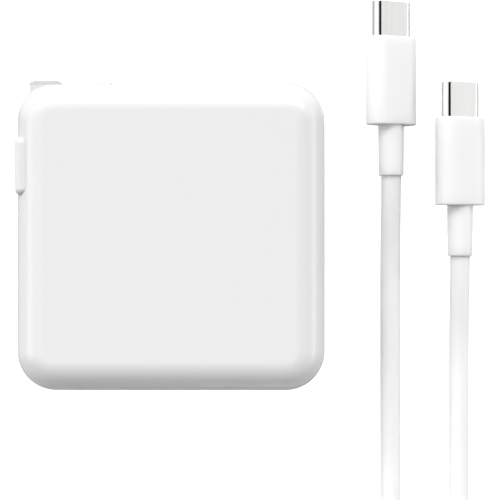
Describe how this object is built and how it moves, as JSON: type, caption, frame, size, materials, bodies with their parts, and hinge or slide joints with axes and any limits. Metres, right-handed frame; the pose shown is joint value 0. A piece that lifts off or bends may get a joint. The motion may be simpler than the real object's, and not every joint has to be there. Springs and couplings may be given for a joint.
{
  "type": "laptop power adapter",
  "caption": "Rounded square wall adapter with a slide-off corner plug, folding flat prongs and a USB-C port, with its loose charge lead.",
  "frame": {"origin": "centre of the housing's flat rear face, which lies on the table", "axes": "+Z out of the front face, +Y towards the edge that the folded prongs point to, +X towards the side with the charge port"},
  "size_m": [0.0887, 0.1662, 0.028],
  "materials": {
    "housing_white": "polished white polycarbonate",
    "trim_white": "satin white plastic",
    "lead_white": "smooth satin white elastomer",
    "plated_steel": "bright nickel plate with faint brushing",
    "spring_brass": "plain brass",
    "board_green": "glass-epoxy board with solder mask",
    "ferrite": "matt sintered ferrite",
    "copper_wire": "enamelled copper wire",
    "capacitor_sleeve": "shrink sleeve",
    "film_yellow": "yellow film tape",
    "ceramic_blue": "glazed ceramic",
    "chip_black": "moulded epoxy",
    "heat_metal": "rolled sheet",
    "insulating_sheet": "fibre sheet",
    "insulator_dark": "dark moulded plastic"
  },
  "bodies": {
    "adapter": {"front_shell": "housing_white", "rear_shell": "housing_white", "port_bezel": "trim_white", "receptacle_shell": "plated_steel", "receptacle_tongue": "insulator_dark", "port_board": "board_green", "inlet_block": "insulator_dark", "inlet_pin_line": "plated_steel", "inlet_pin_neutral": "plated_steel", "lock_stud": "plated_steel", "rear_heat_spreader": "heat_metal", "insulating_sheet": "insulating_sheet", "main_board": "board_green", "front_heat_spreader": "heat_metal", "transformer_core": "ferrite", "transformer_winding": "film_yellow", "primary_capacitor_1": "capacitor_sleeve", "primary_capacitor_2": "capacitor_sleeve", "output_capacitor_1": "capacitor_sleeve", "output_capacitor_2": "capacitor_sleeve", "x_capacitor": "film_yellow", "y_capacitor": "ceramic_blue", "choke_core": "ferrite", "choke_winding": "copper_wire", "fuse": "ceramic_blue", "bridge_rectifier": "chip_black", "heat_sink": "heat_metal", "switch_transistor": "chip_black", "controller_chip": "chip_black", "ac_lead_line": "copper_wire", "ac_lead_neutral": "copper_wire"},
    "ac_plug": {"plug_housing": "housing_white", "plug_inner_cover": "trim_white", "socket_line": "spring_brass", "socket_neutral": "spring_brass", "contact_leaf_line": "spring_brass", "contact_leaf_neutral": "spring_brass", "detent_spring": "plated_steel", "pivot_pin": "plated_steel"},
    "prongs": {"prong_front": "plated_steel", "prong_rear": "plated_steel", "prong_carrier": "trim_white"},
    "charge_lead": {"connector_shell_a": "plated_steel", "connector_insert_a": "insulator_dark", "connector_overmould_a": "lead_white", "strain_relief_a": "lead_white", "connector_shell_b": "plated_steel", "connector_insert_b": "insulator_dark", "connector_overmould_b": "lead_white", "strain_relief_b": "lead_white", "cord_run_a": "lead_white", "cord_run_b": "lead_white", "cord_coil": "lead_white", "cord_tie": "lead_white"}
  },
  "joints": [
    {"name": "plug_slide", "type": "slide", "parent": "adapter", "child": "ac_plug", "axis": [0, 1, 0], "range_m": [0, 0.03]},
    {"name": "prong_fold", "type": "hinge", "parent": "ac_plug", "child": "prongs", "pos_m": [-0.025, 0.0097, 0.014], "axis": [0, 0, 1], "range_deg": [0, 90]},
    {"name": "lead_slide", "type": "slide", "parent": "adapter", "child": "charge_lead", "axis": [1, 0, 0], "range_m": [0, 0.1]}
  ]
}
